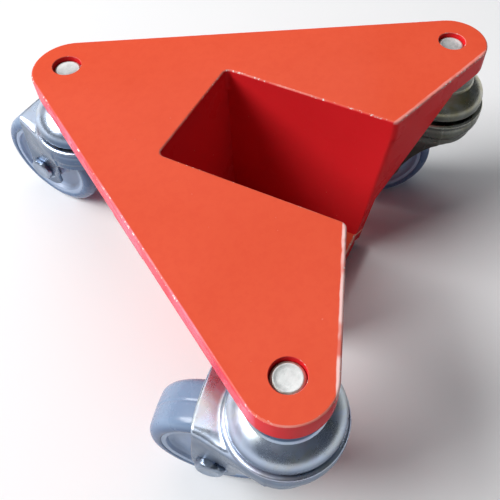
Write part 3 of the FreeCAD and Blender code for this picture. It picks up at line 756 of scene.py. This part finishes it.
def painted_body():
    """The welded plates as one skin, because the paint runs over their joints without a line."""
    scene = bpy.context.scene
    copies = []
    for node in PLATES:
        work = bmesh.new()
        work.from_mesh(frame["nodes"][node].data)
        work.transform(frame["nodes"][node].matrix_world)
        bmesh.ops.remove_doubles(work, verts=work.verts, dist=WELD_POINTS / 2)
        mesh = bpy.data.meshes.new(f"{node}_copy")
        work.to_mesh(mesh)
        work.free()
        copies.append(bpy.data.objects.new(f"{node}_copy", mesh))
        scene.collection.objects.link(copies[-1])
    for other in copies[1:]:
        union = copies[0].modifiers.new(other.name, "BOOLEAN")
        union.operation, union.solver, union.object = "UNION", "EXACT", other
    skin = bpy.data.meshes.new_from_object(copies[0].evaluated_get(bpy.context.evaluated_depsgraph_get()))
    for copy in copies:
        bpy.data.objects.remove(copy)
    work = bmesh.new()
    work.from_mesh(skin)
    bmesh.ops.remove_doubles(work, verts=work.verts, dist=WELD_POINTS)
    bmesh.ops.dissolve_limit(work, angle_limit=math.radians(0.3), verts=work.verts, edges=work.edges)
    bmesh.ops.triangulate(work, faces=[f for f in work.faces if len(f.verts) > 4])
    work.to_mesh(skin)
    work.free()
    skin.polygons.foreach_set("use_smooth", [True] * len(skin.polygons))
    skin.set_sharp_from_angle(angle=math.radians(SKIN_SHARP))
    draft = bpy.data.objects.new("draft", skin)
    scene.collection.objects.link(draft)
    weighted = draft.modifiers.new("weighted", "WEIGHTED_NORMAL")
    weighted.keep_sharp = True
    final = bpy.data.meshes.new_from_object(draft.evaluated_get(bpy.context.evaluated_depsgraph_get()))
    bpy.data.objects.remove(draft)
    piece = bpy.data.objects.new("painted_body", final)
    scene.collection.objects.link(piece)
    finish_with(piece, "paint")
    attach(piece, "frame")
    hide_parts(*PLATES)


painted_body()
FORK = surface(fork_field, FORK_LOW, FORK_HIGH, FORK_GRID)
CAP = lathe(cap_profile(), 160)
TYRE = lathe(tyre_profile(), 160)
HUB = lathe(hub_profile(), 128)
BOLT = mounting_bolt_mesh()
AXLE_BOLT = axle_bolt_mesh()
AXLE_NUT = axle_nut_mesh()

for castor in CASTORS:
    turning = f"{castor}_fork_assembly"
    castor_piece(castor, "fork", turning, FORK, normals=FORK[2])
    castor_piece(castor, "raceway_cap", "frame", CAP, sharp=50)
    bolt = castor_piece(castor, "mounting_bolt", "frame", BOLT, sharp=45)
    bolt.data.materials[0] = MATERIALS["bolt_heads"]
    castor_piece(castor, "axle_bolt", turning, AXLE_BOLT, AXLE_FRAME, sharp=35)
    castor_piece(castor, "axle_nut", turning, AXLE_NUT, AXLE_FRAME, sharp=35)
    castor_piece(castor, "tyre", f"{castor}_wheel", TYRE, AXLE_FRAME, sharp=60)
    castor_piece(castor, "wheel_hub", f"{castor}_wheel", HUB, AXLE_FRAME, sharp=50)

for name, node in frame["nodes"].items():
    if not node.hide_render:
        finish_with(node, SLOTS[name], name.split("_")[0])


# ================= stage, lights and camera =================

def stage_material():
    s = Shader("Stage", Roughness=0.85)
    s.color(s.mix(s.noise(3, 2, 0.5), (0.90, 0.903, 0.905), (0.92, 0.922, 0.925)))
    s.rough(s.ramp(s.noise(20, 3, 0.5), 0.2, 0.8, 0.8, 0.9))
    return s.material


FLOOR_HALF = 6.0
FLOOR_SIGNS = ((-1, -1), (1, -1), (1, 1), (-1, 1))
floor_mesh = bpy.data.meshes.new("Floor")
floor_mesh.from_pydata([(x * FLOOR_HALF, y * FLOOR_HALF, 0) for x, y in FLOOR_SIGNS], [], [(0, 1, 2, 3)])
floor = bpy.data.objects.new("Floor", floor_mesh)
floor.data.materials.append(stage_material())
bpy.context.scene.collection.objects.link(floor)

SKY_SIDE = (0.20, 0.22, 0.26, 1)
SKY_LOW, SKY_HIGH = (0.40, 0.46, 0.58, 1), (0.85, 0.87, 0.90, 1)
SKY_STRENGTH = 0.21


def studio_world():
    """Dim studio surroundings: paler overhead, and darker towards one side."""
    world = bpy.data.worlds.new("Studio")
    world.use_nodes = True
    sky = world.node_tree
    background = sky.nodes["Background"]
    direction = sky.nodes.new("ShaderNodeTexCoord")
    split = sky.nodes.new("ShaderNodeSeparateXYZ")
    height = sky.nodes.new("ShaderNodeValToRGB")
    side = sky.nodes.new("ShaderNodeMapRange")
    lean = sky.nodes.new("ShaderNodeMath")
    shade = sky.nodes.new("ShaderNodeMix")
    shade.data_type = "RGBA"
    lean.operation = "SUBTRACT"
    sky.links.new(direction.outputs["Generated"], split.inputs[0])
    sky.links.new(split.outputs["Z"], height.inputs[0])
    sky.links.new(split.outputs["Y"], lean.inputs[0])
    sky.links.new(split.outputs["X"], lean.inputs[1])
    sky.links.new(lean.outputs[0], side.inputs["Value"])
    side.inputs["From Min"].default_value, side.inputs["From Max"].default_value = -1.2, 1.2
    sky.links.new(side.outputs["Result"], shade.inputs[0])
    shade.inputs[6].default_value = SKY_SIDE
    sky.links.new(height.outputs[0], shade.inputs[7])
    sky.links.new(shade.outputs[2], background.inputs[0])
    height.color_ramp.elements[0].color = SKY_LOW
    height.color_ramp.elements[1].color = SKY_HIGH
    background.inputs[1].default_value = SKY_STRENGTH
    return world


bpy.context.scene.world = studio_world()


def softbox(name, direction, distance, size, power, target=(0.0, 0.0, 0.06)):
    """A rectangular area light that faces the target from a distance."""
    data = bpy.data.lights.new(name, "AREA")
    data.shape = "RECTANGLE"
    data.size, data.size_y = size
    data.energy = power
    light = bpy.data.objects.new(name, data)
    aim = Vector(direction).normalized()
    light.location = Vector(target) + aim * distance
    light.rotation_euler = aim.to_track_quat("Z", "Y").to_euler()
    bpy.context.scene.collection.objects.link(light)


softbox("Key", (-0.55, 0.90, 0.95), 3.0, (2.1, 1.6), 114)
softbox("Overhead", (0.46, 0.34, 1.0), 1.6, (1.2, 1.2), 6.6)

EYE = Vector((-0.19274, -0.14014, 0.32124))
AZIMUTH, PITCH, ROLL = math.radians(23.53), 0.94, 0.025
look = Vector((math.cos(AZIMUTH) * math.cos(PITCH), math.sin(AZIMUTH) * math.cos(PITCH), -math.sin(PITCH)))
right = Vector((math.sin(AZIMUTH), -math.cos(AZIMUTH), 0))
up = right.cross(look)
across = right * math.cos(ROLL) + up * math.sin(ROLL)
upright = up * math.cos(ROLL) - right * math.sin(ROLL)
camera = bpy.data.objects.new("Camera", bpy.data.cameras.new("Camera"))
camera.matrix_world = Matrix.Translation(EYE) @ Matrix((across, upright, -look)).transposed().to_4x4()
camera.data.lens = 45.63
camera.data.sensor_width = 36
camera.data.shift_x, camera.data.shift_y = -0.07204, -0.024
camera.data.clip_start = 0.01
bpy.context.scene.collection.objects.link(camera)
bpy.context.scene.camera = camera
bpy.context.scene.view_settings.view_transform = "Standard"
